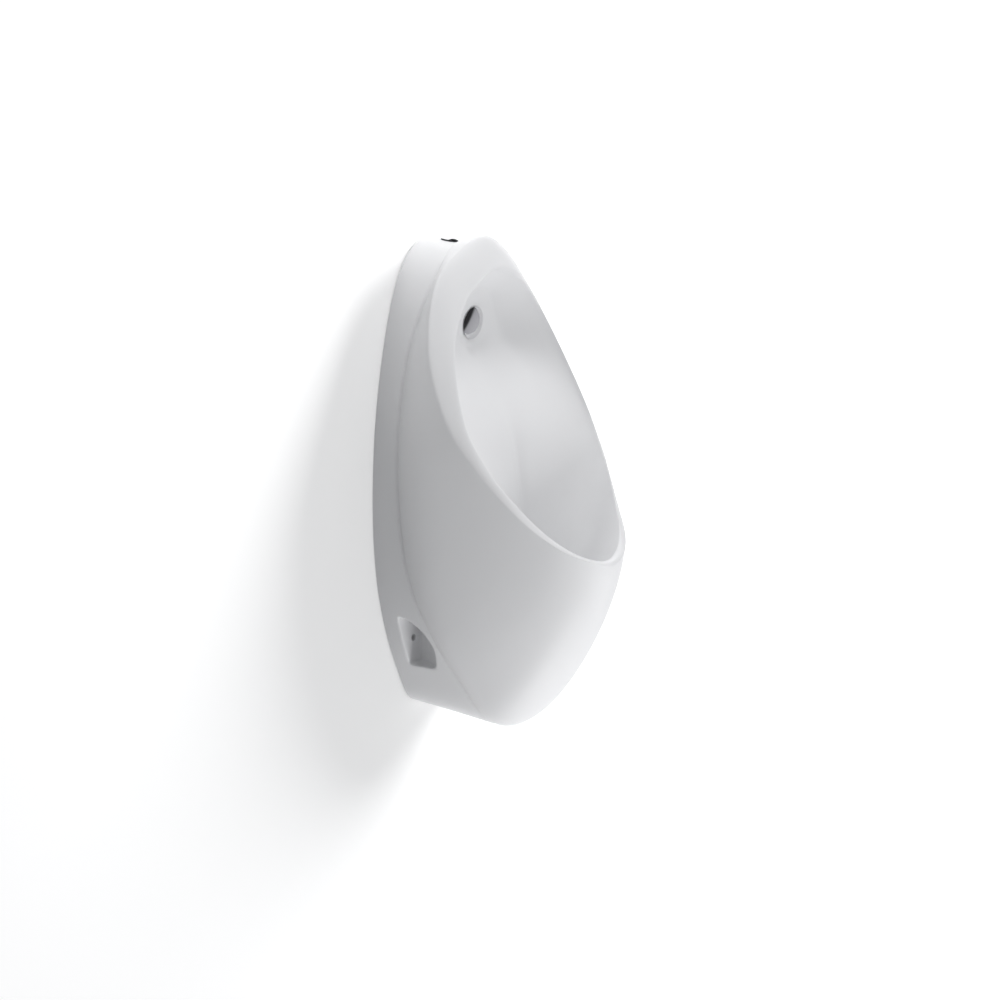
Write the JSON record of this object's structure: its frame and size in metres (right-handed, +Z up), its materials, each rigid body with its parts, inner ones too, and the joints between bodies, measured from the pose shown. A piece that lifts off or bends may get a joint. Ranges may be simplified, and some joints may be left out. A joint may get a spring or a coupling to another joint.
{
  "type": "wall hung urinal",
  "caption": "Wall hung bowl urinal in white vitreous china with a chrome flush spreader, crown cap, strainer waste, concealed bottle trap and wall hangers.",
  "frame": {"origin": "on the wall plane, in the middle of the top of the flange, 608 mm above the lowest point of the china", "axes": "+X to the right for someone facing the bowl, +Y out of the back into the wall, -Y out of the wall towards the user, +Z up"},
  "size_m": [0.2952, 0.276, 0.625],
  "materials": {
    "china": null,
    "chrome": "polished chrome plate on brass",
    "rubber": "black rubber",
    "trap_plastic": "white polypropylene",
    "steel": "zinc plated steel"
  },
  "bodies": {
    "root": {"ceramic_body": "china", "crown_cap": "chrome", "crown_cap_seal": "rubber", "crown_cap_washer": "chrome", "crown_cap_nut": "chrome", "spreader_dome": "chrome", "spreader_tube": "chrome", "spreader_front_seal": "rubber", "spreader_back_seal": "rubber", "spreader_nut": "chrome", "inlet_sleeve": "rubber", "flush_pipe": "chrome", "strainer": "chrome", "waste_tube": "chrome", "waste_top_seal": "rubber", "waste_under_seal": "rubber", "waste_nut": "chrome", "bend_nut": "trap_plastic", "bend_washer": "rubber", "inlet_bend": "trap_plastic", "bend_seal": "rubber", "trap_body": "trap_plastic", "trap_cup_seal": "rubber", "trap_cup": "trap_plastic", "outlet_nut": "trap_plastic", "outlet_washer": "rubber", "outlet_pipe": "trap_plastic", "wall_sleeve": "rubber", "left_hanger": "steel", "right_hanger": "steel", "left_hanger_pad": "rubber", "right_hanger_pad": "rubber"}
  },
  "joints": []
}
